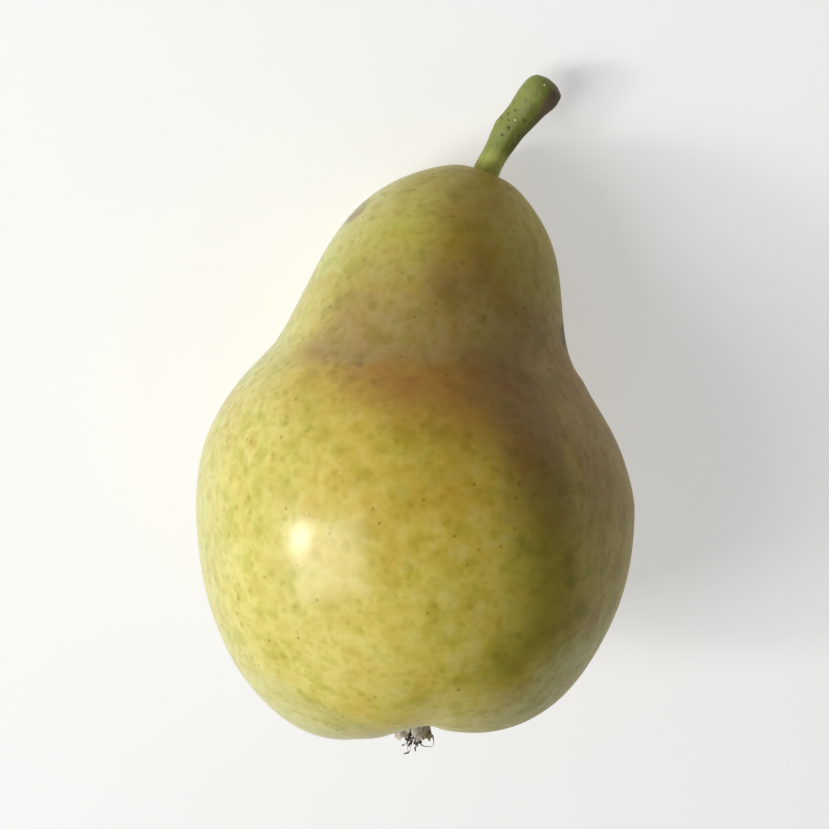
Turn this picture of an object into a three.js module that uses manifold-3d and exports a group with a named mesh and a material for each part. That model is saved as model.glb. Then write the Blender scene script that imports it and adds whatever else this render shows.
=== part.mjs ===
// A ripe pear lying on its side, with its woody stem and the dried flower at the other end.
// Lengths are millimetres. The fruit is drawn in its own frame: X across it, Y from the
// flower end to the stem, Z out of the side that faces the viewer. The whole pear is then
// tipped neck down until its belly and its neck both touch the table, which is at Z = 0.

import * as THREE from 'three';
import { mergeVertices } from 'three/addons/utils/BufferGeometryUtils.js';
import Module from 'manifold-3d';

const wasm = await Module();
wasm.setup();

const { clamp, degToRad, smoothstep } = THREE.MathUtils;

// Fruit: half of its outline, as [radius, height above the flower end]
const OUTLINE = [
  [0.0, 3.8], [4.5, 3.0], [8.8, 1.6], [14.3, 1.6], [21.2, 5.0], [27.4, 12.1],
  [31.8, 21.2], [33.8, 31.3], [33.6, 41.9], [29.2, 52.0], [23.4, 60.0], [20.7, 66.4],
  [18.1, 73.9], [14.6, 80.4], [7.7, 86.4], [2.6, 88.1], [0.0, 87.9],
];
const FRUIT_ROWS = 46;
const FRUIT_SIDES = 60;

// Fruit: the neck moves aside and then leans towards +X
const SHIFT = 1.6;
const SHIFT_FROM = 36;
const SHIFT_OVER = 23;
const NECK_SLOPE = 0.39;
const BEND_FROM = 46;
const BEND_OVER = 34;

// Fruit: lift of the flower end, as [degrees from +X to +Z, lift]. The valley at the front
// shows the dried flower.
const BASE_LIFTS = [
  [0, 0.5], [28, 0.6], [50, 0.95], [66, 1.65], [80, 2.3], [92, 1.9], [106, 1.0], [120, 0.3],
  [140, -0.3], [165, -0.8], [195, -0.95], [230, -0.2], [265, 0.5], [300, 0.9], [332, 0.5],
];
const LIFT_RIM = 8.8;
const LIFT_HEIGHT = 20;

// Fruit: a slightly flattened, three-sided body
const FLATTENING = 0.015;
const SWELLING = 0.35;
const SWELLING_RIM = 15;
const SWELLING_PHASE = 0.8;
const SWELLING_HEIGHT = 90;

// Fruit: a soft ridge down the belly, as [height, degrees from +X to +Z]
const RIDGE_LINE = [[8, 42], [20, 44], [34, 53], [50, 58], [62, 60]];
const RIDGE = 0.75;
const RIDGE_WIDTH = degToRad(16);
const RIDGE_START = [4, 24];
const RIDGE_END = [46, 64];

// Stem: its centre line, and its radius at each share of its length
const STEM_LINE = [
  [10.9, 87.25, 0.0], [11.4, 88.55, 0.0], [13.4, 92.3, 0.2], [15.05, 95.0, 0.6],
  [16.6, 96.8, 1.0], [18.75, 99.3, 1.6], [20.4, 100.95, 2.0], [21.5, 102.15, 2.3],
];
const STEM_PROFILE = [
  [0, 0], [1.95, 0], [2.0, 0.06], [1.98, 0.19], [2.12, 0.32], [2.4, 0.46], [2.5, 0.58],
  [2.72, 0.69], [3.0, 0.78], [3.12, 0.85], [2.9, 0.92], [2.25, 0.966], [0, 1],
];
const STEM_SIDES = 16;
const STEM_SOCKET = 2.35;
const STEM_GAP = 0.35;

// Dried flower: a ring with five leaves, and a tuft of threads inside the ring
const FLOWER_ROOT = 4.6;
const FLOWER_GAP = 0.3;
const RING_INNER = 1.9;
const RING_OUTER = 2.9;
const RING_FACE = 2.3;
const SEPAL_ANGLES = [136, 70, 28, -40, -115];
const SEPAL_HALF_WIDTH = [
  [0, 0], [0.85, 0.05], [1.1, 0.14], [1.45, 0.3], [1.4, 0.65], [0.9, 0.92], [0, 1],
];
const SEPAL_LENGTH = 3.4;
const SEPAL_THINNESS = 0.36;
const SEPAL_RADIUS = 2.4;
const SEPAL_CURL = 0.9;
const CORE_PROFILE = [[0, 2.2], [1.1, 2.4], [1.6, 3.1], [1.6, FLOWER_ROOT], [0, FLOWER_ROOT]];
const THREAD_COUNT = 13;
const THREAD_PROFILE = [[0, 0], [0.3, 0.02], [0.3, 0.86], [0.45, 0.92], [0.4, 0.97], [0, 1]];
const THREAD_ROOT = 3.4;
const THREAD_TIP = -1.2;
const FLOWER_SEED = 11;

// How the pear lies: how far its neck tips down, and the point it rests on
const LYING_TILT = degToRad(26);
const REST_POINT = [-1.8, 49.1, -29.9];
const TABLE_SIZE = 300;

// Closed body of a geometry, its doubled seam points joined
function solid(geometry) {
  geometry.deleteAttribute('normal');
  geometry.deleteAttribute('uv');
  const joined = mergeVertices(geometry, 1e-4);
  return new wasm.Manifold(new wasm.Mesh({
    numProp: 3,
    vertProperties: new Float32Array(joined.attributes.position.array),
    triVerts: new Uint32Array(joined.index.array),
  }));
}

// Named mesh of a closed body
function piece(name, body, color, roughness) {
  const mesh = body.getMesh();
  const geometry = new THREE.BufferGeometry();
  geometry.setAttribute('position', new THREE.BufferAttribute(mesh.vertProperties, 3));
  geometry.setIndex(new THREE.BufferAttribute(mesh.triVerts, 1));
  geometry.computeVertexNormals();
  const material = new THREE.MeshStandardMaterial({ color, roughness, metalness: 0 });
  const named = new THREE.Mesh(geometry, material);
  named.name = name;
  return named;
}

// Round geometry of a half-outline turned about Y, with each point then moved by a rule
function turned(points, sides, rule = (point) => point) {
  const outline = points.map((place) => new THREE.Vector2(place[0], place[1]));
  const geometry = new THREE.LatheGeometry(outline, sides);
  const position = geometry.attributes.position;
  for (let i = 0; i < position.count; i += 1) {
    const moved = rule(new THREE.Vector3().fromBufferAttribute(position, i));
    position.setXYZ(i, moved.x, moved.y, moved.z);
  }
  return geometry;
}

// Round rod carried along a curve; its profile is [radius, share of the curve's length]
function carried(profile, sides, curve) {
  const length = curve.getLength();
  const towardsViewer = new THREE.Vector3(0, 0, 1);
  const points = profile.map(([radius, share]) => [radius, share * length]);
  return turned(points, sides, (point) => {
    const share = clamp(point.y / length, 0, 1);
    const direction = curve.getTangentAt(share);
    const aside = direction.clone().cross(towardsViewer).normalize();
    const front = aside.clone().cross(direction);
    return curve.getPointAt(share).addScaledVector(aside, point.x).addScaledVector(front, point.z);
  });
}

// Smooth curve through places in space
function curveThrough(places) {
  return new THREE.CatmullRomCurve3(places.map(([x, y, z = 0]) => new THREE.Vector3(x, y, z)));
}

// How far the fruit's axis has moved towards +X at a height, and the angle it leans there
function axisAt(height) {
  const shift = clamp((height - SHIFT_FROM) / SHIFT_OVER, 0, 1);
  const bend = clamp((height - BEND_FROM) / BEND_OVER, 0, 1);
  const straight = Math.max(height - BEND_FROM - BEND_OVER, 0);
  const shifted = SHIFT * shift * shift * (3 - 2 * shift);
  const bent = NECK_SLOPE * (BEND_OVER * (bend ** 3 - bend ** 4 / 2) + straight);
  const shiftSlope = 6 * SHIFT * shift * (1 - shift) / SHIFT_OVER;
  const bendSlope = NECK_SLOPE * bend * bend * (3 - 2 * bend);
  return { aside: shifted + bent, lean: Math.atan(shiftSlope + bendSlope) };
}

// Smooth rule through [degrees, value] pairs all the way round
function roundRule(pairs) {
  const turns = [-360, 0, 360];
  const knots = turns.flatMap((turn) => pairs.map(([degrees]) => degToRad(degrees + turn)));
  const values = turns.flatMap(() => pairs.map(([, value]) => value));
  const rule = new THREE.CubicInterpolant(knots, values, 1);
  return (angle) => rule.evaluate(angle)[0];
}

const liftAt = roundRule(BASE_LIFTS);
const ridgeDirection = new THREE.LinearInterpolant(
  RIDGE_LINE.map(([height]) => height),
  RIDGE_LINE.map(([, degrees]) => degToRad(degrees)),
  1,
);

// How far the ridge stands out at a height and a direction
function ridgeAt(height, around) {
  const shown = smoothstep(height, ...RIDGE_START) * (1 - smoothstep(height, ...RIDGE_END));
  const off = around - ridgeDirection.evaluate(height)[0];
  return RIDGE * shown * Math.exp(2 * (Math.cos(off) - 1) / RIDGE_WIDTH ** 2);
}

// Turns a point of the plain round fruit into a point of the lobed, leaning one
function lobedAndLeaning(point) {
  const radius = Math.hypot(point.x, point.z);
  const around = Math.atan2(point.z, point.x);
  const fading = smoothstep(radius, 0, LIFT_RIM) * (1 - smoothstep(point.y, 0, LIFT_HEIGHT));
  const height = point.y + liftAt(around) * fading;
  const swelling = SWELLING * Math.sin(Math.PI * clamp(point.y / SWELLING_HEIGHT, 0, 1))
    * smoothstep(radius, 0, SWELLING_RIM) * Math.cos(3 * around + SWELLING_PHASE);
  const flattened = radius * (1 - FLATTENING * Math.sin(around) ** 2);
  const out = flattened + swelling + ridgeAt(point.y, around);
  const { aside, lean } = axisAt(height);
  const across = out * Math.cos(around);
  const x = aside + across * Math.cos(lean);
  const y = height - across * Math.sin(lean);
  return new THREE.Vector3(x, y, out * Math.sin(around));
}

// Hole in the stem end of the fruit, a little wider and deeper than the stem's foot
function stemSocket(curve) {
  const up = new THREE.Vector3(0, 1, 0);
  const depth = 12;
  const hole = new THREE.CylinderGeometry(STEM_SOCKET, STEM_SOCKET, depth, 24);
  hole.translate(0, depth / 2 - STEM_GAP, 0);
  hole.applyQuaternion(new THREE.Quaternion().setFromUnitVectors(up, curve.getTangentAt(0)));
  hole.translate(...curve.getPointAt(0).toArray());
  return solid(hole);
}

// Hole in the flower end of the fruit, a little wider and deeper than the dried flower
function flowerSocket() {
  const radius = RING_OUTER + FLOWER_GAP;
  const depth = 12;
  const hole = new THREE.CylinderGeometry(radius, radius, depth, 30);
  hole.translate(0, FLOWER_ROOT + FLOWER_GAP - depth / 2, 0);
  return solid(hole);
}

// The table under the lying pear, in the fruit's own frame
function table(lying) {
  const slab = new THREE.BoxGeometry(TABLE_SIZE, TABLE_SIZE, TABLE_SIZE);
  slab.translate(0, 0, -TABLE_SIZE / 2);
  slab.applyMatrix4(lying.clone().invert());
  return solid(slab);
}

// The fruit, hollowed for the stem and the flower and pressed flat where it touches the table
function fruit(stemLine, lying) {
  const outline = curveThrough(OUTLINE).getSpacedPoints(FRUIT_ROWS).map(({ x, y }) => [x, y]);
  const body = solid(turned(outline, FRUIT_SIDES, lobedAndLeaning));
  const hollowed = body.subtract(stemSocket(stemLine)).subtract(flowerSocket());
  return hollowed.subtract(table(lying));
}

// One dried leaf, hanging from the ring and curling outwards
function sepal(angle, curl, twist) {
  const points = SEPAL_HALF_WIDTH.map(([width, share]) => [width, share * SEPAL_LENGTH]);
  return solid(turned(points, 10, (point) => {
    const share = point.y / SEPAL_LENGTH;
    const out = SEPAL_RADIUS + curl * share * share + SEPAL_THINNESS * point.z;
    const aside = point.x + twist * share;
    const x = out * Math.cos(angle) - aside * Math.sin(angle);
    const z = out * Math.sin(angle) + aside * Math.cos(angle);
    return new THREE.Vector3(x, RING_FACE + 1 - point.y, z);
  }));
}

// Ring of the dried flower with its leaves
function sepals(random) {
  const section = [
    [RING_INNER, RING_FACE], [RING_OUTER, RING_FACE], [RING_OUTER, FLOWER_ROOT],
    [RING_INNER, FLOWER_ROOT], [RING_INNER, RING_FACE],
  ];
  let body = solid(turned(section, 30));
  for (const degrees of SEPAL_ANGLES) {
    const curl = SEPAL_CURL * (0.6 + 0.6 * random());
    body = body.add(sepal(degToRad(degrees), curl, 0.6 * (random() - 0.5)));
  }
  return body;
}

// Tuft of threads on a low dome
function stamens(random) {
  let body = solid(turned(CORE_PROFILE, 14));
  for (let i = 0; i < THREAD_COUNT; i += 1) {
    const angle = 2.4 * i;
    const root = 0.3 + 0.7 * Math.sqrt(i / THREAD_COUNT);
    const turn = angle + 0.8 * (random() - 0.5);
    const spread = root + 0.45 * random();
    const tip = THREAD_TIP - 0.9 * random();
    const line = curveThrough([
      [root * Math.cos(angle), THREAD_ROOT, root * Math.sin(angle)],
      [root * Math.cos(angle), (THREAD_ROOT + tip) / 2, root * Math.sin(angle)],
      [spread * Math.cos(turn), tip, spread * Math.sin(turn)],
    ]);
    body = body.add(solid(carried(THREAD_PROFILE, 5, line)));
  }
  return body;
}

// The whole pear, lying with its belly and neck on the table
function lyingPear() {
  const pear = new THREE.Group();
  pear.name = 'pear';
  pear.rotation.x = -LYING_TILT;
  pear.position.set(...REST_POINT).applyEuler(pear.rotation).negate();
  pear.updateMatrix();

  THREE.MathUtils.seededRandom(FLOWER_SEED);
  const random = () => THREE.MathUtils.seededRandom();
  const stemLine = curveThrough(STEM_LINE);
  const stem = solid(carried(STEM_PROFILE, STEM_SIDES, stemLine));

  pear.add(piece('fruit', fruit(stemLine, pear.matrix), 0xc3b556, 0.45));
  pear.add(piece('stem', stem, 0x838846, 0.7));
  pear.add(piece('sepals', sepals(random), 0xa79a80, 0.9));
  pear.add(piece('stamens', stamens(random), 0x4f3a28, 0.9));
  return pear;
}

const part = new THREE.Group();
part.add(lyingPear());

export default part;
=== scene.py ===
# A ripe pear lying on its side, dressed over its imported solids.
# Shapes are worked out in millimetres in the pear's own frame: X across it, Y from the
# dried flower to the stem, Z out of the side that faces the viewer. lying() then tips the
# neck down onto the table and gives metres.

import math

import bpy
import numpy as np
from bpy.props import FloatProperty, FloatVectorProperty, IntProperty, PointerProperty
from mathutils import Matrix, Vector


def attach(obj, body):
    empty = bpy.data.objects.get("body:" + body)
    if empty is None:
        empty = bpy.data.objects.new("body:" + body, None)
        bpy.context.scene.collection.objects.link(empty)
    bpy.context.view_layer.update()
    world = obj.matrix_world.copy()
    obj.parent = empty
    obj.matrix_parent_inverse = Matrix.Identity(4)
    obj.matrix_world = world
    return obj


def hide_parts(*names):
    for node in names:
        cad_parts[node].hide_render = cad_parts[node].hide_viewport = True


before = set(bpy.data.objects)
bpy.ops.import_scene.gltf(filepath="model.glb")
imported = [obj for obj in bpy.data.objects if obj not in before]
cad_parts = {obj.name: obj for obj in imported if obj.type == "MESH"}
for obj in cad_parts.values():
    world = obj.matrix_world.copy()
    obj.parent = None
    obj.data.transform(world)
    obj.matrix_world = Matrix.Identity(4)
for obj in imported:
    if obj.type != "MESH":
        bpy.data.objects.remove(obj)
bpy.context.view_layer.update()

bl_info = {
    "name": "Lying pear",
    "version": (1, 0, 0),
    "blender": (4, 5, 0),
    "location": "View3D > Sidebar > Pear",
    "description": "Builds the skin, stem and dried flower of a lying pear, and its studio",
    "category": "Object",
}

MM = 0.001
TAU = 2 * math.pi

# How the pear lies: how far its neck tips down, and the point of the fruit on the table
LYING_TILT = math.radians(26)
LYING_TURN = Matrix.Rotation(-LYING_TILT, 4, "X")
REST_POINT = np.array([-1.8, 49.1, -29.9])
TABLE_CLEARANCE = 0.03

# Fruit: half of its outline, as (radius, height above the flower end)
OUTLINE = np.array([
    (0.0, 3.8), (4.5, 3.0), (8.8, 1.6), (14.3, 1.6), (21.2, 5.0), (27.4, 12.1),
    (31.8, 21.2), (33.8, 31.3), (33.6, 41.9), (29.2, 52.0), (23.4, 60.0), (20.7, 66.4),
    (18.1, 73.9), (14.6, 80.4), (7.7, 86.4), (2.6, 88.1), (0.0, 87.9),
])

# Fruit: the neck moves aside and then leans towards +X
SHIFT, SHIFT_FROM, SHIFT_OVER = 1.6, 36, 23
NECK_SLOPE, BEND_FROM, BEND_OVER = 0.39, 46, 34

# Fruit: lift of the flower end in directions round it, in degrees from +X to +Z. The valley
# at the front shows the dried flower.
BASE_LIFTS = np.array([
    (0, 0.5), (28, 0.6), (50, 0.95), (66, 1.65), (80, 2.3), (92, 1.9), (106, 1.0), (120, 0.3),
    (140, -0.3), (165, -0.8), (195, -0.95), (230, -0.2), (265, 0.5), (300, 0.9), (332, 0.5),
])
LIFT_RIM, LIFT_HEIGHT = 8.8, 20

# Fruit: a slightly flattened, three-sided body
FLATTENING = 0.015
SWELLING, SWELLING_RIM, SWELLING_PHASE, SWELLING_HEIGHT = 0.35, 15, 0.8, 90

# Fruit: a soft ridge down the belly, as (height, direction in degrees), and its half width
RIDGE_LINE = np.array([(8, 42), (20, 44), (34, 53), (50, 58), (62, 60)])
RIDGE, RIDGE_WIDTH = 0.75, 16

# Stem: its centre line, and its radius at each share of its length
STEM_LINE = np.array([
    (10.9, 87.25, 0.0), (11.4, 88.55, 0.0), (13.4, 92.3, 0.2), (15.05, 95.0, 0.6),
    (16.6, 96.8, 1.0), (18.75, 99.3, 1.6), (20.4, 100.95, 2.0), (21.5, 102.15, 2.3),
])
STEM_PROFILE = np.array([
    (0.0, 0.0), (1.9, 0.004), (2.05, 0.06), (1.98, 0.19), (2.12, 0.32), (2.4, 0.46),
    (2.5, 0.58), (2.72, 0.69), (3.0, 0.78), (3.12, 0.85), (2.9, 0.92), (2.3, 0.966),
    (1.2, 0.992), (0.0, 1.0),
])

# Stem: place along it and height of the small bud on its outer side
BUD_SHARE, BUD_LENGTH, BUD_HEIGHT = 0.465, 0.035, 0.16

# Dried flower: directions of its five leaves round the fruit, in degrees from +X to +Z
SEPAL_ANGLES = (136, 70, 28, -40, -115)
SEPAL_ROOT_HEIGHT = 3.6
RING_RADIUS, RING_HALF_WIDTH = 2.45, 0.42
DOME_RADIUS, DOME_HEIGHT, DOME_MIDDLE = 1.75, 1.1, 3.7
THREAD_ROOT_HEIGHT = 3.2
THREAD_TURN = 2.4

# Fineness of the small pieces: rows along, sides round
LEAF_GRID = (40, 28)
RING_GRID = (72, 20)
DOME_GRID = (16, 36)
THREAD_GRID = (34, 8)

# Seeds of the random draws
HOLLOWS_SEED, LEAVES_SEED, THREADS_SEED = 5, 8, 21

# Threads that stand clear of the dried flower: points from root to tip
LONG_THREADS = (
    ((-0.5, 2.2, 0.6), (-0.8, 0.3, 1.2), (-0.95, -0.9, 1.5), (-0.85, -1.7, 1.5), (-1.5, -1.95, 1.3)),
    ((0.1, 2.2, 0.6), (-0.1, 0.2, 1.4), (-0.4, -1.0, 1.7), (-0.8, -1.8, 1.6), (-1.0, -1.9, 1.4)),
    ((0.5, 2.2, 0.3), (0.35, 0.2, 1.0), (0.3, -0.8, 1.2), (0.35, -1.6, 1.3)),
    ((0.8, 2.2, 0.4), (0.85, 0.2, 1.2), (1.3, -0.6, 1.5), (2.3, -0.85, 1.4), (3.1, -0.75, 1.0),
     (3.15, -0.1, 0.7), (3.0, 0.9, 0.6)),
    ((-0.3, 2.0, 1.0), (-0.7, 0.2, 1.6), (-1.2, -0.35, 1.9), (-1.8, -0.6, 2.0)),
    ((0.6, 2.0, 0.8), (0.9, 0.3, 1.5), (0.7, -0.5, 1.9), (0.1, -1.1, 2.0)),
)

# Skin: soft patches of the ground, as (colour, centre, radii, solid share of them, strength)
GROUND_PATCHES = (
    ("amber", (2, 42, 28), (24, 18, 26), 0.2, 0.85),
    ("amber", (-12, 54.5, 22), (13, 9, 18), 0.1, 0.9),
    ("straw", (-10, 14, 26), (15, 13, 22), 0.1, 0.35),
)

# Studio: each light's name, metres across and along the pear, direction in the pear's own
# frame, and distance in millimetres from the point that all the lights face
LIGHTS = (
    ("key", (0.12, 0.05), (-0.86, -0.17, 0.48), 700),
    ("glow", (0.53, 0.33), (-0.675, -0.295, 0.68), 800),
    ("side", (0.8, 0.8), (-0.97, -0.25, 0.15), 900),
    ("window", (0.9, 0.9), (-0.62, 0.45, 0.64), 800),
    ("base", (0.8, 0.8), (0.0, -0.82, 0.57), 900),
    ("fill", (0.8, 0.8), (0.93, -0.3, 0.1), 900),
)
LIGHT_TARGET = np.array([0.0, 45.0, 0.0])
VIEW_MIDDLE = (0.19, 50.65)
FLOOR_HALF_WIDTH = 4.0


def srgb(code):
    """Linear colour of a six-digit screen colour, by the screen's own curve."""
    parts = [int(code[i:i + 2], 16) / 255 for i in (0, 2, 4)]
    return tuple(c / 12.92 if c <= 0.04045 else ((c + 0.055) / 1.055) ** 2.4 for c in parts)


def colour_property(name, description, code):
    """Colour setting of a material."""
    return FloatVectorProperty(
        name=name, description=description, subtype="COLOR", size=3, min=0, max=1, default=srgb(code))


def millimetres(name, description, default, low=0.0, high=100.0):
    """Length setting in millimetres."""
    return FloatProperty(name=f"{name} (mm)", description=description, default=default, min=low, max=high)


def watts(name, description, default):
    """Power setting of a light."""
    return FloatProperty(name=name, description=description, default=default, min=0, unit="POWER")


def whole_number(name, description, default, low, high):
    """Setting that counts rows, sides or threads."""
    return IntProperty(name=name, description=description, default=default, min=low, max=high)


class PearFruitSettings(bpy.types.PropertyGroup):
    """Fineness and relief of the skin."""

    rows: whole_number("Rows", "Rows from the flower to the stem", 220, 40, 240)
    sides: whole_number("Sides", "Sides round the fruit", 400, 60, 410)
    unevenness: millimetres("Unevenness", "Depth of the shallow hollows of the flesh", 0.16)
    basin_folds: millimetres("Basin folds", "Depth of the folds round the dried flower", 0.16)
    peel_depth: millimetres("Peel depth", "Depth of the fine grain of the skin", 0.035)
    spot_spacing: millimetres("Spot spacing", "Distance between the soft flecks of the skin", 1.8, 0.2)


class PearSkinColours(bpy.types.PropertyGroup):
    """Colours of the skin. The tints darken whatever they lie on."""

    yellow: colour_property("Yellow", "Main ground colour", "D8C758")
    lemon: colour_property("Lemon", "Ground on the side that ripened last", "D0C66A")
    # Pale: painted sheen along the lit outer edge of the fruit.
    pale_and_lit: colour_property("Pale", "Dusty edge of that side", "C6C57C")
    amber: colour_property("Amber", "Ground below the blush", "D3B84A")
    straw: colour_property("Straw", "Pale cloudy patches of the ground", "E6DC90")
    green: colour_property("Green", "Ground of the neck", "BCB254")
    lime: colour_property("Lime", "Bright spot of the neck", "B8B53C")
    tan: colour_property("Tan", "Ripe side of the neck", "AA913A")
    orange: colour_property("Orange", "Blush", "AF7C26")
    # Brown: ripe spots on the waist, and, with the olive, painted shade in the band down the shaded side.
    brown_and_shade: colour_property("Brown", "Upper part of the band down the shaded side", "92733D")
    olive_and_shade: colour_property("Olive", "Lower part of the band", "9A8E2A")
    waist: colour_property("Waist", "Brown girdle between neck and belly", "A58C57")
    dull: colour_property("Dull brown", "Upper flank", "A88F54")
    drab: colour_property("Drab", "Lower flank", "B8A64E")
    # Bloom: pale dusty skin, partly a painted reflection of the floor on the lower rims.
    bloom_and_sheen: colour_property("Bloom", "Dusty skin low on the flank", "D2CB86")
    gold_tint: colour_property("Gold tint", "Large deeper clouds", "F2E6CE")
    rosy_tint: colour_property("Rosy tint", "Warm blotches", "F4E0BE")
    leafy_tint: colour_property("Leafy tint", "Green blotches", "E5EAB6")
    patch_tint: colour_property("Patch tint", "Small deeper patches", "EDE5BC")
    fleck_tint: colour_property("Fleck tint", "Soft green flecks", "DADBA8")
    dot_tint: colour_property("Dot tint", "Small dark dots", "C0B494")
    mark: colour_property("Mark", "Dark graze at the edge of the waist", "4E4526")
    russet: colour_property("Russet", "Rough skin round the stem and the flower", "8B7550")


class PearStemSettings(bpy.types.PropertyGroup):
    """Shape and colours of the stem."""

    rows: whole_number("Rows", "Rows along the stem", 150, 20, 300)
    sides: whole_number("Sides", "Sides round the stem", 96, 12, 200)
    ridge_depth: millimetres("Ridge depth", "Depth of the ridges along the stem", 0.03)
    green: colour_property("Green", "Main colour of the bark", "707A31")
    # Pale green: dusty bark, and painted light down the stem's lit side.
    pale_and_lit: colour_property("Pale green", "Dusty bark", "929A52")
    # Foot: painted light, a fresh green that lifts the shade the crown casts on the foot.
    lit_foot: colour_property("Foot", "Fresh green of the foot", "D0D46A")
    # Brown: the dry side of the knob, and painted shade down the stem's shaded side.
    ochre: colour_property("Ochre", "Ripe streaks of the bark", "6F6822")
    brown_and_shade: colour_property("Brown", "Dry side of the knob", "6E5648")
    black: colour_property("Black", "Small dark spots", "23231A")
    white: colour_property("White", "Tiny pale pores", "EDEBC8")


class PearFlowerSettings(bpy.types.PropertyGroup):
    """Shape and colours of the dried flower."""

    leaf_length: millimetres("Leaf length", "Length of a dried leaf", 3.35)
    leaf_width: millimetres("Leaf width", "Width of a dried leaf", 3.1)
    leaf_thickness: millimetres("Leaf thickness", "Thickness of a dried leaf", 0.34)
    thread_radius: millimetres("Thread radius", "Radius of a thread", 0.08)
    thread_count: whole_number("Threads", "Threads inside the ring", 26, 4, 80)
    paper: colour_property("Paper", "Dry outer face of the leaves", "CFC6BA")
    shade: colour_property("Shade", "Grey streaks of the leaves", "958B82")
    stain: colour_property("Stain", "Brown stains of the leaves", "6A4C2A")
    thread: colour_property("Thread", "Dry threads", "766A55")
    tip: colour_property("Tip", "Ends of the threads", "4A3F2F")


class PearStageSettings(bpy.types.PropertyGroup):
    """Camera, lights and floor."""

    view_distance: millimetres("View distance", "From the camera to the middle of the pear", 400, 100, 2000)
    view_width: millimetres("View width", "Width of the picture at the middle of the pear", 129.0, 50, 500)
    key_power: watts("Key power", "Small bright light", 1.15)
    glow_power: watts("Glow power", "Main light, beside the small bright one", 4.0)
    side_power: watts("Side power", "Low light on the lit side", 1.3)
    window_power: watts("Window power", "Soft light from the stem side", 1.3)
    base_power: watts("Base power", "Soft light from the flower side", 1.0)
    fill_power: watts("Fill power", "Low light on the shaded side", 0.7)
    sky: FloatProperty(name="Sky", description="Brightness all round", default=0.03, min=0)
    floor: colour_property("Floor", "Colour of the floor", "C6C5C2")
    floor_light: colour_property("Floor light", "Light that comes through the floor", "FFFFFF")
    floor_glow: FloatProperty(
        name="Floor glow", description="Strength of the light through the floor", default=0.45, min=0)


def ease(value, low, high):
    """Smooth step: 0 below low, 1 above high, and 3t^2 - 2t^3 between them."""
    t = np.clip((value - low) / (high - low), 0, 1)
    return t * t * (3 - 2 * t)


def spline(knots, values, at, level_ends=False):
    """Natural cubic spline through values at rising knots, or one that is level at both ends."""
    steps = np.diff(knots)
    slopes = np.diff(values) / steps
    count = len(knots)
    system = np.eye(count)
    bends = np.zeros(count)
    for i in range(1, count - 1):
        system[i, i - 1:i + 2] = steps[i - 1], 2 * (steps[i - 1] + steps[i]), steps[i]
        bends[i] = 6 * (slopes[i] - slopes[i - 1])
    if level_ends:
        system[0, :2] = 2 * steps[0], steps[0]
        system[-1, -2:] = steps[-1], 2 * steps[-1]
        bends[0], bends[-1] = 6 * slopes[0], -6 * slopes[-1]
    curve = np.linalg.solve(system, bends)
    i = np.clip(np.searchsorted(knots, at, side="right") - 1, 0, count - 2)
    width = steps[i]
    a = (knots[i + 1] - at) / width
    b = 1 - a
    bow = ((a ** 3 - a) * curve[i] + (b ** 3 - b) * curve[i + 1]) * width ** 2 / 6
    return a * values[i] + b * values[i + 1] + bow


def lengths_along(points):
    """Distance from the first point to each point, measured along straight steps."""
    steps = np.linalg.norm(np.diff(points, axis=0), axis=1)
    return np.concatenate([[0.0], np.cumsum(steps)])


def curve_at(points, share):
    """Points of the natural spline through given points, at shares of its length."""
    knots = lengths_along(points)
    at = share * knots[-1]
    return np.stack([spline(knots, points[:, k], at) for k in range(points.shape[1])], axis=-1)


def lying(points):
    """Pear's own frame to the table: less the rest point, turned by the tilt about X, in metres."""
    x, y, z = np.moveaxis(points - REST_POINT, -1, 0)
    cos, sin = math.cos(LYING_TILT), math.sin(LYING_TILT)
    return np.stack([x, y * cos + z * sin, z * cos - y * sin], axis=-1) * MM


def grid(rows, sides):
    """Shares along and angles round, as two arrays of rows + 1 by sides."""
    share = np.linspace(0, 1, rows + 1)[:, None] + np.zeros(sides)
    around = np.zeros((rows + 1, 1)) + np.arange(sides) * TAU / sides
    return share, around


def fruit_axis(height):
    """How far the axis has moved to +X, an eased step plus an eased bend, and its lean."""
    shift = np.clip((height - SHIFT_FROM) / SHIFT_OVER, 0, 1)
    bend = np.clip((height - BEND_FROM) / BEND_OVER, 0, 1)
    straight = np.maximum(height - BEND_FROM - BEND_OVER, 0)
    moved = SHIFT * shift ** 2 * (3 - 2 * shift)
    moved = moved + NECK_SLOPE * (BEND_OVER * (bend ** 3 - bend ** 4 / 2) + straight)
    slope = 6 * SHIFT * shift * (1 - shift) / SHIFT_OVER + NECK_SLOPE * bend ** 2 * (3 - 2 * bend)
    return moved, np.arctan(slope)


def base_lift(around):
    """Lift of the flower end: a spline round the fruit through the given directions."""
    directions = np.radians(BASE_LIFTS[:, 0])
    knots = np.concatenate([directions - TAU, directions, directions + TAU])
    return spline(knots, np.tile(BASE_LIFTS[:, 1], 3), around)


def lobed_and_leaning(radius, height, around):
    """Round outline to fruit: lobes lift the base, a three-lobed swelling widens the body,
    and each level slides and leans with the axis."""
    fading = ease(radius, 0, LIFT_RIM) * (1 - ease(height, 0, LIFT_HEIGHT))
    level = height + base_lift(around) * fading
    swelling = (SWELLING * np.sin(np.pi * np.clip(height / SWELLING_HEIGHT, 0, 1))
                * ease(radius, 0, SWELLING_RIM) * np.cos(3 * around + SWELLING_PHASE))
    crest = np.radians(np.interp(height, RIDGE_LINE[:, 0], RIDGE_LINE[:, 1]))
    ridge = RIDGE * ease(height, 4, 24) * (1 - ease(height, 46, 64))
    ridge = ridge * np.exp((np.cos(around - crest) - 1) * 2 / math.radians(RIDGE_WIDTH) ** 2)
    out = radius * (1 - FLATTENING * np.sin(around) ** 2) + swelling + ridge
    moved, lean = fruit_axis(level)
    across = out * np.cos(around)
    return np.stack([moved + across * np.cos(lean), level - across * np.sin(lean),
                     out * np.sin(around)], axis=-1)


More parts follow.
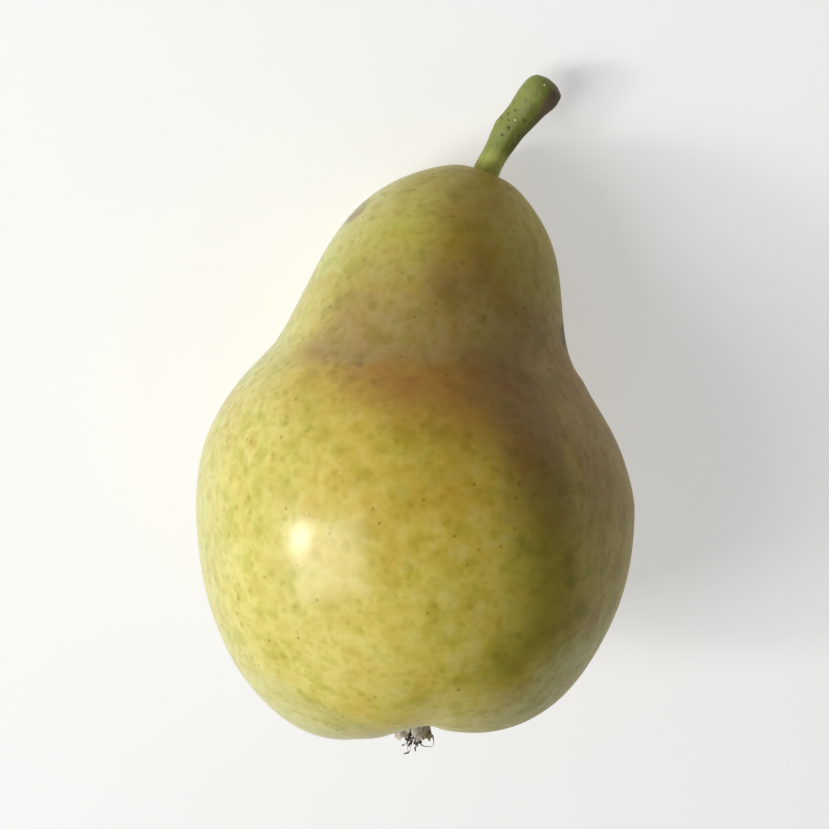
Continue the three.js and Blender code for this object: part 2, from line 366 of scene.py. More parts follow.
def hollows(points, depth, seed):
    """Shallow random relief: the mean of eight sine waves with seeded directions."""
    random = np.random.default_rng(seed)
    total = 0
    for _ in range(8):
        direction = random.normal(size=3)
        direction = direction / np.linalg.norm(direction)
        wave = random.uniform(16, 38)
        total = total + np.sin(points @ direction * TAU / wave + random.uniform(0, TAU))
    return depth * total / 8 ** 0.5


def fruit_surface(share, around, settings):
    """Skin: outline spline turned about the axis, with radial folds in the flower's basin
    and shallow hollows over the whole fruit."""
    knots = lengths_along(OUTLINE)
    at = share * knots[-1]
    radius = np.maximum(spline(knots, OUTLINE[:, 0], at), 0)
    height = spline(knots, OUTLINE[:, 1], at, level_ends=True)
    in_basin = ease(radius, 1.5, 5) * (1 - ease(radius, 7, 15)) * (1 - ease(height, 4, 12))
    folds = np.sin(9 * around + 1.3 * np.sin(2 * around)) + 0.5 * np.sin(14 * around + 1)
    height = height + settings.basin_folds * in_basin * folds
    plain = lobed_and_leaning(radius, height, around)
    relief = hollows(plain, settings.unevenness, HOLLOWS_SEED) * ease(radius, 2, 12)
    return lobed_and_leaning(radius + relief, height, around)


def carried(profile, line, rows, sides, relief=None):
    """Rod: a profile of (radius, share of length) carried along a smooth line; every ring
    stands square to the line, its first side towards +X."""
    knots = lengths_along(profile)
    share, around = grid(rows, sides)
    radius = np.maximum(spline(knots, profile[:, 0], share * knots[-1]), 0)
    along = np.clip(spline(knots, profile[:, 1], share * knots[-1]), 0, 1)
    radius[0] = radius[-1] = 0
    along[0], along[-1] = 0, 1
    if relief is not None:
        radius = radius + relief(along, around) * np.minimum(1, radius)
    centre = curve_at(line, along)
    step = 1e-3
    ahead = curve_at(line, np.minimum(along + step, 1)) - curve_at(line, np.maximum(along - step, 0))
    ahead /= np.linalg.norm(ahead, axis=-1, keepdims=True)
    aside = np.cross(ahead, (0, 0, 1))
    aside /= np.linalg.norm(aside, axis=-1, keepdims=True)
    front = np.cross(aside, ahead)
    spoke = np.cos(around)[..., None] * aside + np.sin(around)[..., None] * front
    return centre + radius[..., None] * spoke


def closed_shell(points):
    """Vertices and faces of a grid that wraps round its columns and closes at both end rows."""
    rows, sides = points.shape[0] - 1, points.shape[1]
    start_pole, end_pole = points[:1].mean(axis=1), points[-1:].mean(axis=1)
    vertices = np.concatenate([start_pole, points[1:-1].reshape(-1, 3), end_pole])
    index = 1 + np.arange((rows - 1) * sides).reshape(rows - 1, sides)
    right = np.roll(index, -1, axis=1)
    quads = np.stack([index[:-1], index[1:], right[1:], right[:-1]], axis=-1).reshape(-1, 4)
    last = len(vertices) - 1
    start = np.stack([np.zeros(sides, int), index[0], right[0]], axis=-1)
    end = np.stack([np.full(sides, last), right[-1], index[-1]], axis=-1)
    return vertices, quads.tolist() + start.tolist() + end.tolist()


def ring_shell(points):
    """Vertices and faces of a grid that wraps round both its rows and its columns."""
    rows, sides = points.shape[:2]
    index = np.arange(rows * sides).reshape(rows, sides)
    down = np.roll(index, -1, axis=0)
    quads = np.stack([index, down, np.roll(down, -1, axis=1), np.roll(index, -1, axis=1)], axis=-1)
    return points.reshape(-1, 3), quads.reshape(-1, 4).tolist()


def add_piece(name, shells, node, material):
    """One smooth mesh object of one or more shells, riding on the root and standing for a node."""
    vertices, faces, first = [], [], 0
    for points, shell_faces in shells:
        vertices.append(lying(points))
        faces.extend([[first + i for i in face] for face in shell_faces])
        first += len(points)
    placed = np.concatenate(vertices)
    placed[:, 2] = np.maximum(placed[:, 2], TABLE_CLEARANCE * MM)
    mesh = bpy.data.meshes.new(name)
    mesh.from_pydata(placed.tolist(), [], faces)
    mesh.materials.append(material)
    mesh.shade_smooth()
    mesh.validate()
    piece = bpy.data.objects.new(name, mesh)
    bpy.context.scene.collection.objects.link(piece)
    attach(piece, "root")
    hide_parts(node)
    return piece


class Wire:
    """A number that changes over a surface; Python's operators add Math nodes to it."""

    def __init__(self, tree, socket):
        self.tree = tree
        self.socket = socket

    def __add__(self, other):
        return self.tree.math("ADD", self, other)

    def __sub__(self, other):
        return self.tree.math("SUBTRACT", self, other)

    def __rsub__(self, other):
        return self.tree.math("SUBTRACT", other, self)

    def __mul__(self, other):
        return self.tree.math("MULTIPLY", self, other)

    def __pow__(self, other):
        return self.tree.math("POWER", self, other)

    __radd__ = __add__
    __rmul__ = __mul__

    def at_least(self, other):
        return self.tree.math("MAXIMUM", self, other)

    def at_most(self, other):
        return self.tree.math("MINIMUM", self, other)


class Shader:
    """Node tree of one material, with short ways to add and join its nodes."""

    def __init__(self, name):
        self.material = bpy.data.materials.new(name)
        self.material.use_nodes = True
        self.nodes = self.material.node_tree.nodes
        self.links = self.material.node_tree.links
        self.surface = self.nodes["Principled BSDF"]

    def put(self, socket, value):
        """Joins a wire, or sets a constant, on an input socket."""
        if isinstance(value, Wire):
            self.links.new(value.socket, socket)
        elif socket.type == "RGBA" and len(value) == 3:
            socket.default_value = (*value, 1)
        else:
            socket.default_value = value

    def node(self, kind, settings=None, output=0, **inputs):
        """Adds a node: its settings first, then its inputs by name or number, and wires its output."""
        node = self.nodes.new(kind)
        for name, value in (settings or {}).items():
            setattr(node, name, value)
        for name, value in inputs.items():
            key = int(name[1:]) if name[0] == "n" and name[1:].isdigit() else name.replace("_", " ")
            self.put(node.inputs[key], value)
        return Wire(self, node.outputs[output])

    def math(self, operation, a, b):
        """Two numbers joined by an operation of the Math node."""
        return self.node("ShaderNodeMath", {"operation": operation}, n0=a, n1=b)

    def ease(self, value, low, high):
        """Smooth step of a wire from 0 at low to 1 at high, whichever is larger."""
        return self.node("ShaderNodeMapRange", {"interpolation_type": "SMOOTHSTEP"},
                         n0=value, n1=low, n2=high, n3=0.0, n4=1.0)

    def mix(self, share, first, second, blend="MIX"):
        """First colour at 0, second at 1, or first times second at 1."""
        settings = {"data_type": "RGBA", "blend_type": blend}
        return self.node("ShaderNodeMix", settings, output=2, n0=share, n6=first, n7=second)

    def tint(self, share, colour, tint):
        """Darkens a colour by a tint."""
        return self.mix(share, colour, tint, "MULTIPLY")

    def vector(self, operation, a, b=(0, 0, 0), scale=1.0, output=0):
        """Vectors joined by an operation of the Vector Math node."""
        settings = {"operation": operation}
        return self.node("ShaderNodeVectorMath", settings, output=output, n0=a, n1=b, n3=scale)

    def stretched(self, place, scale, turn=0.0):
        """Place turned about Z by some degrees and scaled, so that a pattern draws out."""
        return self.node("ShaderNodeMapping", Vector=place, Rotation=(0, 0, math.radians(turn)), Scale=scale)

    def stirred(self, place, size, reach, detail=1):
        """Place shifted by a noise of some size times a reach, so that a pattern on it wobbles."""
        shift = self.vector("SCALE", self.noise(place, size, detail, output=1), scale=reach)
        return self.vector("ADD", shift, place)

    def place(self):
        """Millimetres in the pear's own frame, from Object coordinates."""
        coordinates = self.node("ShaderNodeTexCoord", output=3)
        return self.node("ShaderNodeMapping", Vector=coordinates, Location=tuple(REST_POINT),
                         Rotation=(LYING_TILT, 0, 0), Scale=(1 / MM, 1 / MM, 1 / MM))

    def split(self, vector):
        """X, Y and Z of a vector."""
        node = self.nodes.new("ShaderNodeSeparateXYZ")
        self.put(node.inputs[0], vector)
        return [Wire(self, output) for output in node.outputs]

    def noise(self, place, size, detail=2.0, roughness=0.5, seed=0.0, output=0):
        """Cloudy noise whose patches are about size millimetres across."""
        return self.node("ShaderNodeTexNoise", {"noise_dimensions": "4D"}, output=output, Vector=place,
                         W=seed, Scale=1 / size, Detail=detail, Roughness=roughness)

    def cells(self, place, spacing):
        """Voronoi cells: the distance to the nearest middle, and a random colour of its cell."""
        distance = self.node("ShaderNodeTexVoronoi", {"feature": "F1"}, Vector=place, Scale=1 / spacing)
        return distance, Wire(self, distance.socket.node.outputs[1])

    def blob(self, place, centre, radii, core=0.0):
        """Soft ellipsoid: 1 inside the core share of its radii, easing to 0 at its surface."""
        scale = tuple(1 / r for r in radii)
        offset = tuple(-c / r for c, r in zip(centre, radii))
        scaled = self.node("ShaderNodeMapping", Vector=place, Location=offset, Scale=scale)
        return self.ease(self.vector("LENGTH", scaled, output=1), 1.0, core)

    def bump(self, height, distance):
        """Normal of a relief, whose height from 0 to 1 stands for a distance in metres."""
        return self.node("ShaderNodeBump", Height=height, Distance=distance, Strength=1.0)

    def finish(self, **inputs):
        """Sets the surface shader's sockets and gives the material."""
        for name, value in inputs.items():
            self.put(self.surface.inputs[name.replace("_", " ")], value)
        return self.material


class Skin(Shader):
    """Skin of the fruit: noises and measures over it, and the colour laid on it so far. The
    measures are in millimetres that drift a little, so that no zone has a straight edge."""

    def __init__(self, colours, settings):
        super().__init__("pear_skin")
        self.colours = colours
        self.settings = settings
        self.point = self.place()
        drift = self.vector("SUBTRACT", self.noise(self.point, 12, 3, output=1), (0.5, 0.5, 0.5))
        self.loose = self.vector("ADD", self.vector("SCALE", drift, scale=7.0), self.point)
        self.cloud = self.noise(self.point, 7, 3, 0.55, seed=1)
        self.blotch = self.noise(self.point, 4.2, 2.5, 0.6, seed=12)
        self.patch = self.noise(self.point, 2.8, 1.8, 0.55, seed=2)
        self.grain = self.noise(self.point, 1.3, 1.2, 0.5, seed=3)
        self.ragged = (self.patch + self.blotch) * 0.5 - 0.5

        x, y, z = self.x, self.y, self.z = self.split(self.loose)
        self.front = self.ease(z, -20, 0)
        # The side that ripened last, and how far a point lies inside that side's outline
        self.late = self.ease(x, -4, -22)
        self.inside = (x - (y - 48).at_least(0) * 0.68 - (20 - y).at_least(0) * 0.55
                       - (12 - y).at_least(0) * 2.1)
        # How far a point lies past the bowed line where the shaded flank begins
        bow = (y.at_most(58) - 27).at_least(0) ** 2 * 0.0075 + (25 - y).at_least(0) ** 2 * 0.045
        self.past = x + bow - 21
        self.flank = self.ease(self.past, 0, 6) * self.ease(z, -30, -8)
        self.colour = colours.yellow

    def cover(self, colour, share):
        """Covers the skin with a colour, by a share."""
        self.colour = self.mix(share, self.colour, colour)

    def lay(self, colour, zone, strength):
        """Covers a zone, a mask from 0 to 1 whose soft edge is first broken up by the patches."""
        broken = (zone + self.ragged * (zone * (1 - zone)).at_least(0) * 6.5).at_least(0).at_most(1)
        self.cover(colour, broken * strength)

    def darken(self, tint, share):
        """Multiplies the skin by a tint, by a share."""
        self.colour = self.tint(share, self.colour, tint)

    def lay_ground(self):
        """Yellow ground, duller where it ripened last, with amber and straw patches."""
        self.cover(self.colours.lemon, self.late)
        for name, centre, radii, core, strength in GROUND_PATCHES:
            self.cover(getattr(self.colours, name), self.blob(self.loose, centre, radii, core) * strength)
        self.cover(self.colours.straw, self.ease(self.patch, 0.5, 0.66) * 0.25)

    def lay_neck(self):
        """Green neck with a bright spot, tanned down its ripe side."""
        x, y = self.x, self.y
        self.lay(self.colours.green, self.ease(y, 62, 73), 1.0)
        ripe_side = self.ease(x - (y - 76).at_least(0) * 0.4, -2, 6) * self.ease(y, 60, 70)
        still_green = self.ease(x, 11, 17) * self.ease(y, 64, 72) * 0.6
        self.lay(self.colours.tan, ripe_side * (1 - still_green), 0.85)
        self.lay(self.colours.lime, self.blob(self.loose, (-2.5, 78.5, 17), (7, 5, 9)), 0.6)

    def lay_waist(self):
        """Orange blush on the shoulder, with the brown waist and its ripe spots above it."""
        x, y = self.x, self.y
        blush = (self.ease(y + self.ease(x, -22, 10) * 7, 50, 60) * self.ease(y, 64, 57)
                 * self.ease(x, -24, 0) * self.front)
        self.lay(self.colours.orange, blush, 0.9)
        self.lay(self.colours.orange, self.blob(self.loose, (8, 44, 24), (10, 12, 14)), 0.4)
        waist = (self.ease(y, 55.5, 60) * self.ease(y, 78, 65) * self.ease(self.inside, -30, -21)
                 * self.front)
        self.lay(self.colours.waist, waist, 0.85)
        first_spot = self.blob(self.loose, (4.5, 69, 19), (6, 5, 9))
        second_spot = self.blob(self.loose, (10, 73, 17), (4, 7, 8))
        self.lay(self.colours.brown_and_shade, (first_spot + second_spot * 0.7).at_most(1.0), 0.6)

    def lay_shaded_side(self):
        """Drab flank; the olive and brown band in front of it, partly the skin's colour and partly painted
        shade; and dusty skin low down with a painted reflection of the floor.
        """
        x, y, past = self.x, self.y, self.past
        upper = self.ease(y, 28, 44) * self.ease(y, 74, 66)
        flank_colour = self.mix(upper, self.colours.drab, self.colours.dull)
        flank_colour = self.mix(self.ease(y, 62, 72) * 0.7, flank_colour, self.colours.green)
        self.lay(flank_colour, self.flank, 0.9)
        # Painted shade: the band darkens the skin where the side turns away from the light, over its own
        # olive and brown colour.
        painted_shade_band = (self.ease(past, -11, -1) * self.ease(past, 6, 1) * self.ease(y, 5, 17)
                * self.ease(y, 65, 56) * self.front)
        shade_band_colour = self.mix(self.ease(y, 28, 47), self.colours.olive_and_shade, self.colours.brown_and_shade)
        self.lay(shade_band_colour, painted_shade_band, 0.93)
        # Painted reflection: pale skin on the lower rims where they face the floor, over a dusty bloom.
        low = self.ease(past, 2, 8) * self.ease(y, 24, 13) + self.ease(y, 11, 6) * self.ease(x, -4, 6)
        self.lay(self.colours.bloom_and_sheen, low.at_most(1.0), 0.85)

    def lay_painted_sheen_edge(self):
        """Painted sheen: a pale colour along the lit outer edge of the side that ripened last."""
        strength = 0.7 + self.ease(self.y, 50, 60) * 0.3
        self.cover(self.colours.pale_and_lit, self.ease(self.inside, -25, -32) * strength)

    def mottle(self):
        """Tints in clouds, warm and green blotches, small patches, and streaks down the flank."""
        tints = self.colours
        warmth = 0.12 + self.ease(self.y, 20, 45) * 0.38
        self.darken(tints.gold_tint, self.ease(self.cloud, 0.44, 0.66) * (0.5 - self.late * 0.3))
        self.darken(tints.rosy_tint, self.ease(self.blotch, 0.5, 0.34) * warmth)
        self.darken(tints.leafy_tint, self.ease(self.blotch, 0.5, 0.64) * 0.65)
        self.darken(tints.patch_tint, self.ease(self.patch, 0.52, 0.38) * 0.4)
        self.darken(tints.patch_tint, self.ease(self.grain, 0.5, 0.66) * 0.4)
        streak = self.noise(self.stretched(self.loose, (1, 0.25, 1)), 1.3, 2, 0.6, seed=11)
        self.darken(tints.patch_tint, self.ease(streak, 0.46, 0.64) * self.flank * 0.8)

    def add_spots(self):
        """Soft flecks of uneven strength, most on the late side, and sparser small dark dots."""
        reach, chance = self.cells(self.stirred(self.point, 0.7, 0.6), self.settings.spot_spacing)
        strength = self.ease(self.split(chance)[0], 0.15, 0.9) * (0.5 + self.ease(self.x, -2, -24) * 0.3)
        self.darken(self.colours.fleck_tint, self.ease(reach, 0.5, 0.05) * strength)
        reach, _ = self.cells(self.point, 3.0)
        self.darken(self.colours.dot_tint, self.ease(reach, 0.12, 0.04) * 0.75)

    def add_russet(self):
        """Rough skin round the stem and the flower, a scar on the neck and a dark graze on the
        waist. Gives the russet's share."""
        rough = self.patch + self.grain
        around_stem = self.blob(self.loose, tuple(STEM_LINE[1]), (6, 4.5, 6), 0.2)
        around_flower = self.blob(self.loose, (0, 3, 0), (7, 3, 7), 0.3)
        russet = (around_stem * 0.6 + around_flower * 0.55) * self.ease(rough, 0.75, 1.15)
        scar = self.blob(self.point, (-8.8, 81.8, 3.0), (3.2, 3.2, 5), 0.5) * self.ease(rough, 0.6, 1.05)
        self.cover(self.colours.russet, (russet + scar * 0.85).at_most(1.0))
        graze = self.blob(self.point, (22.7, 62.6, 2.5), (1.9, 3.5, 4), 0.5)
        self.cover(self.colours.mark, graze * self.ease(self.grain, 0.3, 0.55) * 0.85)
        return russet


def skin_material(colours, settings):
    """Waxy skin: zones of colour, then mottling, spots and russet. The wax, the grain and the
    russet set how it shines."""
    s = Skin(colours, settings)
    s.lay_ground()
    s.lay_neck()
    s.lay_waist()
    s.lay_shaded_side()
    s.lay_painted_sheen_edge()
    s.mottle()
    s.add_spots()
    russet = s.add_russet()

    peel = s.noise(s.point, 0.55, 2, 0.5, seed=4)
    normal = s.bump(peel * 0.6 + s.patch * 0.8, settings.peel_depth * MM)
    roughness = 0.5 + (s.patch - 0.5) * 0.16 + russet * 0.25
    wax = 0.04 + s.ease(s.x, 12, -10) * 0.46
    return s.finish(
        Base_Color=s.colour, Roughness=roughness, Normal=normal, Coat_Weight=wax, Coat_Roughness=0.2,
        Coat_IOR=1.45, Subsurface_Weight=0.18, Subsurface_Radius=(1.0, 0.55, 0.15),
        Subsurface_Scale=2.5 * MM, Specular_IOR_Level=0.24)


def stem_material(settings):
    """Green bark, paler in dusty patches and with painted light down its lit side, ochre streaks along it, a
    brown dry side on the knob with painted shade down the shaded side, painted light on the foot where the
    crown's shadow falls, smeared dark specks and pale pores."""
    s = Shader("pear_stem_bark")
    place = s.place()
    cloud = s.noise(place, 1.8, 3, 0.6, seed=5)
    streak = s.noise(s.stretched(place, (1, 0.3, 1), 38), 0.6, 3, 0.6, seed=6)
    x, y = s.split(place)[:2]

    across = x - (y - 88) * 0.62
    bark = s.mix(s.ease(streak, 0.38, 0.62) * 0.7, settings.green, settings.ochre)
    # Painted light: paler bark down the lit side, and pale dusty patches anywhere.
    lit_and_dusty = s.ease(across, 12.6, 10.0) * 0.55 + s.ease(cloud, 0.52, 0.7) * 0.25
    bark = s.mix(lit_and_dusty.at_most(1.0), bark, settings.pale_and_lit)
    # Brown dry side of the knob, then painted shade in brown down the stem's shaded right side.
    dry_and_shaded = s.ease(x * 0.83 - y * 0.56 + (cloud - 0.5) * 1.5, -38.9, -37.9) * s.ease(y, 95.5, 97.5)
    dry_and_shaded = dry_and_shaded + s.ease(across + (cloud - 0.5) * 2, 12.9, 14.2) * 0.4
    bark = s.mix(dry_and_shaded.at_most(0.85), bark, settings.brown_and_shade)
    # Painted light: the foot is paler and greener where the crown's shadow falls on it.
    lit_foot = s.blob(place, (12.7, 88.0, 1.0), (4.4, 4.5, 5), 0.4)
    bark = s.mix(lit_foot * 0.85, bark, settings.lit_foot)
    dark_rim = s.blob(place, (22.6, 101.6, 1.5), (1.6, 2.4, 2.6), 0.1)
    reach, chance = s.cells(s.stirred(place, 0.5, 0.9, detail=2), 0.85)
    specks = s.ease(reach, 0.42, 0.12) * s.ease(s.split(chance)[0], 0.62, 0.72)
    scarred = s.blob(place, (15.0, 94.8, 1.5), (4.5, 5, 6), 0.4)
    dark = specks * (0.2 + scarred * 0.65) + dark_rim * 0.75
    bark = s.mix(dark.at_most(1.0), bark, settings.black)
    reach, chance = s.cells(place, 1.3)
    pores = s.ease(reach, 0.16, 0.08) * s.ease(s.split(chance)[1], 0.78, 0.82)
    bark = s.mix(pores, bark, settings.white)

    normal = s.bump(streak * 0.7 + cloud * 0.6 - specks * 0.5, 0.1 * MM)
    return s.finish(
        Base_Color=bark, Roughness=0.5 + cloud * 0.25, Normal=normal, Subsurface_Weight=0.08,
        Subsurface_Radius=(1.0, 0.6, 0.2), Subsurface_Scale=0.8 * MM, Specular_IOR_Level=0.4)


def leaf_material(settings):
    """Dry papery leaves: pale beige with grey streaks along them and brown stains."""
    s = Shader("dried_flower_leaf")
    place = s.place()
    streak = s.noise(s.stretched(place, (1, 0.25, 1)), 0.32, 2, 0.6, seed=7)
    cloud = s.noise(place, 1.1, 3, 0.6, seed=8)
    paper = s.mix(s.ease(streak, 0.42, 0.66) * 0.75, settings.paper, settings.shade)
    stained = s.ease(cloud, 0.55, 0.66) + s.blob(place, (2.6, 1.5, 1.5), (0.6, 0.6, 2.0), 0.4)
    stained = (stained + s.blob(place, (-1.2, 1.3, 1.8), (1.2, 0.8, 2.0), 0.3)).at_most(1.0)
    paper = s.mix(stained * 0.75, paper, settings.stain)
    normal = s.bump(streak + cloud * 0.5, 0.12 * MM)
    return s.finish(
        Base_Color=paper, Roughness=0.78 + streak * 0.15, Normal=normal, Specular_IOR_Level=0.25)


def thread_material(settings):
    """Dry brown threads that darken towards their tips in patches."""
    s = Shader("dried_flower_thread")
    place = s.place()
    cloud = s.noise(place, 0.8, 2, 0.6, seed=9)
    height = s.split(place)[1]
    dark = (s.ease(cloud, 0.4, 0.6) * 0.6 + s.ease(height, 1.4, 0.2) * 0.3).at_most(1.0)
    colour = s.mix(dark, settings.thread, settings.tip)
    normal = s.bump(s.noise(place, 0.15, 2, 0.5, seed=10), 0.03 * MM)
    return s.finish(Base_Color=colour, Roughness=0.75 + cloud * 0.2, Normal=normal, Specular_IOR_Level=0.25)


def stem_relief(settings):
    """Relief of the stem: ridges along it, a small knob on its outer side, and a flattened
    dry side of the end knob."""
    def relief(along, around):
        ridges = settings.ridge_depth * (
            np.sin(5 * around + 2.2 * along) + 0.6 * np.sin(11 * around - 3 * along + 1)
            + 0.5 * np.sin(23 * along + 2 * around))
        turned_away = np.cos(around - math.pi * 0.93)
        bud = BUD_HEIGHT * np.exp(-((along - BUD_SHARE) / BUD_LENGTH) ** 2) * np.clip(turned_away, 0, 1) ** 2
        facing = np.cos(around - 0.35)
        dry_side = -0.12 * ease(facing, 0.35, 0.85) * ease(along, 0.66, 0.75) * (1 - ease(along, 0.9, 0.98))
        return ridges + bud + dry_side
    return relief


def sepal_shell(angle, settings, random):
    """Dried leaf: an oval section whose width swells and ends blunt, hung from the ring along
    -Y, bowed outwards by the square of its length and rippled by sine waves."""
    share, around = grid(*LEAF_GRID)
    end = np.sin(np.pi * np.clip(share, 0, 1)) ** 0.28
    length = settings.leaf_length * random.uniform(0.9, 1.08)
    width = settings.leaf_width / 2 * end * (0.8 + 0.2 * np.sin(np.pi * share)) * random.uniform(0.9, 1.1)
    aside = width * np.cos(around)
    ragged = 0.16 * np.sin(aside * 4.5 + random.uniform(0, TAU))
    ragged = ragged + 0.1 * np.sin(aside * 9 + random.uniform(0, TAU))
    drop = share * length + ragged * share ** 3
    bow = random.uniform(0.2, 0.9)
    ripple = 0.13 * np.sin(share * 8 + aside * 2.4 + random.uniform(0, TAU)) * share
    cup = 0.12 * aside ** 2
    out = RING_RADIUS + bow * share ** 2 + ripple - cup
    out = out + settings.leaf_thickness / 2 * end * np.sin(around)
    aside = aside + random.uniform(-0.35, 0.35) * share
    x = out * np.cos(angle) - aside * np.sin(angle)
    z = out * np.sin(angle) + aside * np.cos(angle)
    return closed_shell(np.stack([x, SEPAL_ROOT_HEIGHT - drop, z], axis=-1))


def ring_of_leaves():
    """Ring: an uneven oval section turned about the flower's axis."""
    rows, sides = RING_GRID
    around = np.arange(rows)[:, None] * TAU / rows
    section = np.arange(sides)[None, :] * TAU / sides
    radius = RING_RADIUS + RING_HALF_WIDTH * np.cos(section) + 0.08 * np.sin(7 * around)
    height = SEPAL_ROOT_HEIGHT + 0.1 + 1.0 * np.sin(section) + 0.12 * np.sin(5 * around + 1)
    points = np.stack([radius * np.cos(around), height, radius * np.sin(around)], axis=-1)
    return ring_shell(points[:, ::-1])


def thread_shell(points, radius, tip_radius):
    """Thread: a thin rod along a smooth line, with a small bulb at its end."""
    profile = np.array([
        (0, 0), (radius, 0.01), (radius, 0.5), (radius * 0.8, 0.86), (tip_radius, 0.93),
        (tip_radius, 0.97), (0, 1)])
    return closed_shell(carried(profile, np.array(points, float), *THREAD_GRID))


def short_threads(settings):
    """Threads in a golden-angle spiral on the dome, each bent aside by seeded amounts."""
    random = np.random.default_rng(THREADS_SEED)
    shells = []
    for i in range(settings.thread_count):
        angle = THREAD_TURN * i
        root = 0.25 + 1.25 * math.sqrt(i / settings.thread_count)
        turn = angle + random.uniform(-0.9, 0.9)
        spread = root * random.uniform(0.5, 1.25)
        tip = random.uniform(-0.9, 0.6)
        middle = (2.6 + tip) / 2 + random.uniform(-0.2, 0.2)
        line = [
            (root * math.cos(angle), THREAD_ROOT_HEIGHT, root * math.sin(angle)),
            (root * 1.1 * math.cos(angle + 0.3), middle, root * 1.1 * math.sin(angle + 0.3)),
            (spread * math.cos(turn), tip, spread * math.sin(turn)),
        ]
        bulb = settings.thread_radius * random.uniform(1.3, 2.2)
        shells.append(thread_shell(line, settings.thread_radius, bulb))
    return shells


def flower_dome():
    """Dome that the threads grow from: a round cap whose height follows a cosine."""
    share, around = grid(*DOME_GRID)
    turn = share * np.pi
    radius = DOME_RADIUS * np.sin(turn)
    height = DOME_MIDDLE + DOME_HEIGHT * np.cos(turn) + 0.1 * np.sin(5 * around) * np.sin(turn)
    points = np.stack([radius * np.cos(around), height, radius * np.sin(around)], axis=-1)
    return closed_shell(points[::-1])


def add_light(name, power, size, direction, distance):
    """Soft light, size metres across and along the pear, at a distance from the target in a
    direction of the pear's own frame. It faces the target with its sides along the pear."""
    data = bpy.data.lights.new(name, "AREA")
    data.energy = power
    data.shape = "RECTANGLE"
    data.size, data.size_y = size
    light = bpy.data.objects.new(name, data)
    bpy.context.scene.collection.objects.link(light)
    light.visible_camera = False
    back = Vector(direction).normalized()
    across = Vector((0, 1, 0)).cross(back).normalized()
    facing = Matrix((across, back.cross(across), back)).transposed().to_4x4()
    spot = Vector(lying(LIGHT_TARGET + np.array(back) * distance))
    light.matrix_world = Matrix.Translation(spot) @ LYING_TURN @ facing


def add_floor(settings):
    """Large pale floor, lit from below like a light table so that its shadows stay pale."""
    mesh = bpy.data.meshes.new("floor")
    half = FLOOR_HALF_WIDTH
    corners = [(-half, -half, 0), (half, -half, 0), (half, half, 0), (-half, half, 0)]
    mesh.from_pydata(corners, [], [(0, 1, 2, 3)])
    s = Shader("studio_floor")
    mesh.materials.append(s.finish(
        Base_Color=tuple(settings.floor), Roughness=0.9, Specular_IOR_Level=0.1,
        Emission_Color=tuple(settings.floor_light), Emission_Strength=settings.floor_glow))
    floor = bpy.data.objects.new("floor", mesh)
    bpy.context.scene.collection.objects.link(floor)


def add_camera(settings):
    """Camera square to the pear's length, above the side that faces the viewer."""
    data = bpy.data.cameras.new("camera")
    data.lens = data.sensor_width * settings.view_distance / settings.view_width
    data.clip_start = 0.01
    camera = bpy.data.objects.new("camera", data)
    bpy.context.scene.collection.objects.link(camera)
    eye = Vector(lying(np.array([*VIEW_MIDDLE, settings.view_distance])))
    camera.matrix_world = Matrix.Translation(eye) @ LYING_TURN
    bpy.context.scene.camera = camera


class PEAR_OT_skin(bpy.types.Operator):
    """Builds the skin of the fruit"""

    bl_idname = "pear.skin"
    bl_label = "Fruit skin"

    def execute(self, context):
        scene = context.scene
        settings = scene.pear_fruit
        share, around = grid(settings.rows, settings.sides)
        shell = closed_shell(fruit_surface(share, around, settings))
        add_piece("fruit_skin", [shell], "fruit", skin_material(scene.pear_skin, settings))
        return {"FINISHED"}


class PEAR_OT_stem(bpy.types.Operator):
    """Builds the stem"""

    bl_idname = "pear.stem"
    bl_label = "Stem"

    def execute(self, context):
        settings = context.scene.pear_stem
        points = carried(STEM_PROFILE, STEM_LINE, settings.rows, settings.sides, stem_relief(settings))
        add_piece("stem_bark", [closed_shell(points)], "stem", stem_material(settings))
        return {"FINISHED"}


class PEAR_OT_leaves(bpy.types.Operator):
    """Builds the ring and the leaves of the dried flower"""

    bl_idname = "pear.leaves"
    bl_label = "Dried leaves"

    def execute(self, context):
        settings = context.scene.pear_flower
        random = np.random.default_rng(LEAVES_SEED)
        shells = [ring_of_leaves()]
        for angle in SEPAL_ANGLES:
            shells.append(sepal_shell(math.radians(angle), settings, random))
        add_piece("dried_leaves", shells, "sepals", leaf_material(settings))
        return {"FINISHED"}


class PEAR_OT_threads(bpy.types.Operator):
    """Builds the threads of the dried flower"""

    bl_idname = "pear.threads"
    bl_label = "Dried threads"

    def execute(self, context):
        settings = context.scene.pear_flower
        shells = [flower_dome()] + short_threads(settings)
        radius = settings.thread_radius
        shells += [thread_shell(line, radius, radius * 1.3) for line in LONG_THREADS]
        add_piece("dried_threads", shells, "stamens", thread_material(settings))
        return {"FINISHED"}


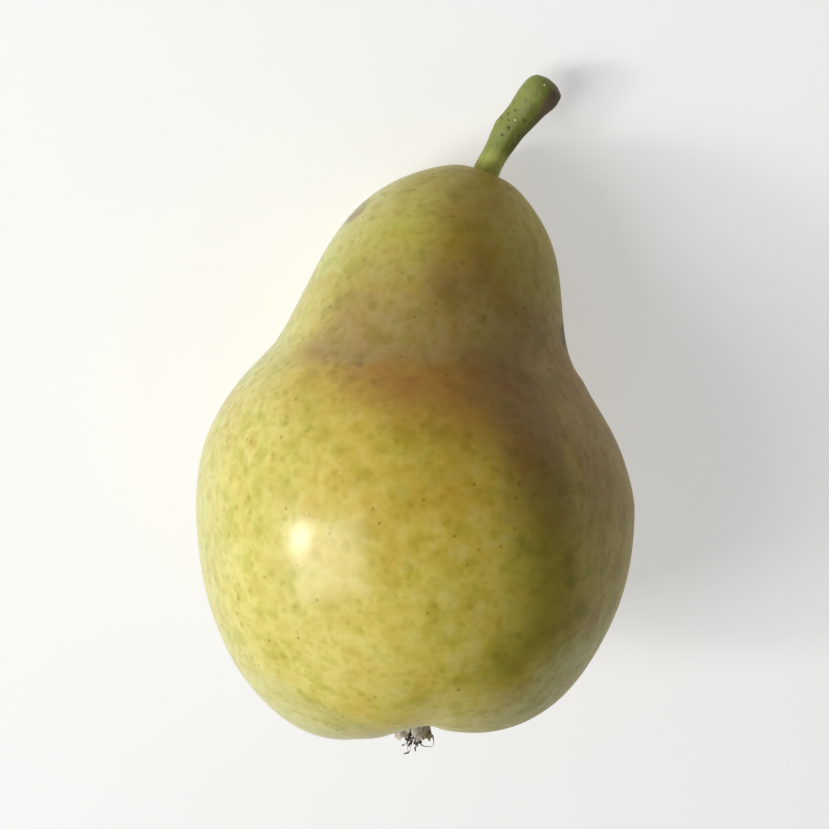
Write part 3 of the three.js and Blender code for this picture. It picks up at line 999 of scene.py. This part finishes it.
class PEAR_OT_stage(bpy.types.Operator):
    """Builds the floor, the lights and the camera"""

    bl_idname = "pear.stage"
    bl_label = "Studio"

    def execute(self, context):
        scene = context.scene
        settings = scene.pear_stage
        add_floor(settings)
        for name, size, direction, distance in LIGHTS:
            add_light(name, getattr(settings, f"{name}_power"), size, direction, distance)
        world = bpy.data.worlds.new("studio")
        world.use_nodes = True
        background = world.node_tree.nodes["Background"]
        background.inputs["Color"].default_value = (1, 1, 1, 1)
        background.inputs["Strength"].default_value = settings.sky
        scene.world = world
        scene.view_settings.view_transform = "Standard"
        add_camera(settings)
        return {"FINISHED"}


class PEAR_PT_panel(bpy.types.Panel):
    """Sidebar panel with the settings and the steps of the pear"""

    bl_label = "Pear"
    bl_idname = "PEAR_PT_panel"
    bl_space_type = "VIEW_3D"
    bl_region_type = "UI"
    bl_category = "Pear"

    def draw(self, context):
        for group, operators in PANEL_PARTS:
            box = self.layout.box()
            settings = getattr(context.scene, group)
            for name in settings.bl_rna.properties.keys():
                if name not in {"rna_type", "name"}:
                    box.prop(settings, name)
            for operator in operators:
                box.operator(operator)


GROUPS = {
    "pear_fruit": PearFruitSettings,
    "pear_skin": PearSkinColours,
    "pear_stem": PearStemSettings,
    "pear_flower": PearFlowerSettings,
    "pear_stage": PearStageSettings,
}
OPERATORS = (PEAR_OT_skin, PEAR_OT_stem, PEAR_OT_leaves, PEAR_OT_threads, PEAR_OT_stage)
PANEL_PARTS = (
    ("pear_fruit", ()),
    ("pear_skin", ("pear.skin",)),
    ("pear_stem", ("pear.stem",)),
    ("pear_flower", ("pear.leaves", "pear.threads")),
    ("pear_stage", ("pear.stage",)),
)


def register():
    for group in GROUPS.values():
        bpy.utils.register_class(group)
    for operator in OPERATORS:
        bpy.utils.register_class(operator)
    bpy.utils.register_class(PEAR_PT_panel)
    for name, group in GROUPS.items():
        setattr(bpy.types.Scene, name, PointerProperty(type=group))


def unregister():
    for name in GROUPS:
        delattr(bpy.types.Scene, name)
    bpy.utils.unregister_class(PEAR_PT_panel)
    for operator in reversed(OPERATORS):
        bpy.utils.unregister_class(operator)
    for group in reversed(GROUPS.values()):
        bpy.utils.unregister_class(group)


def main():
    """Registers the classes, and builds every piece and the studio."""
    register()
    bpy.ops.pear.skin()
    bpy.ops.pear.stem()
    bpy.ops.pear.leaves()
    bpy.ops.pear.threads()
    bpy.ops.pear.stage()


if __name__ == "__main__":
    main()
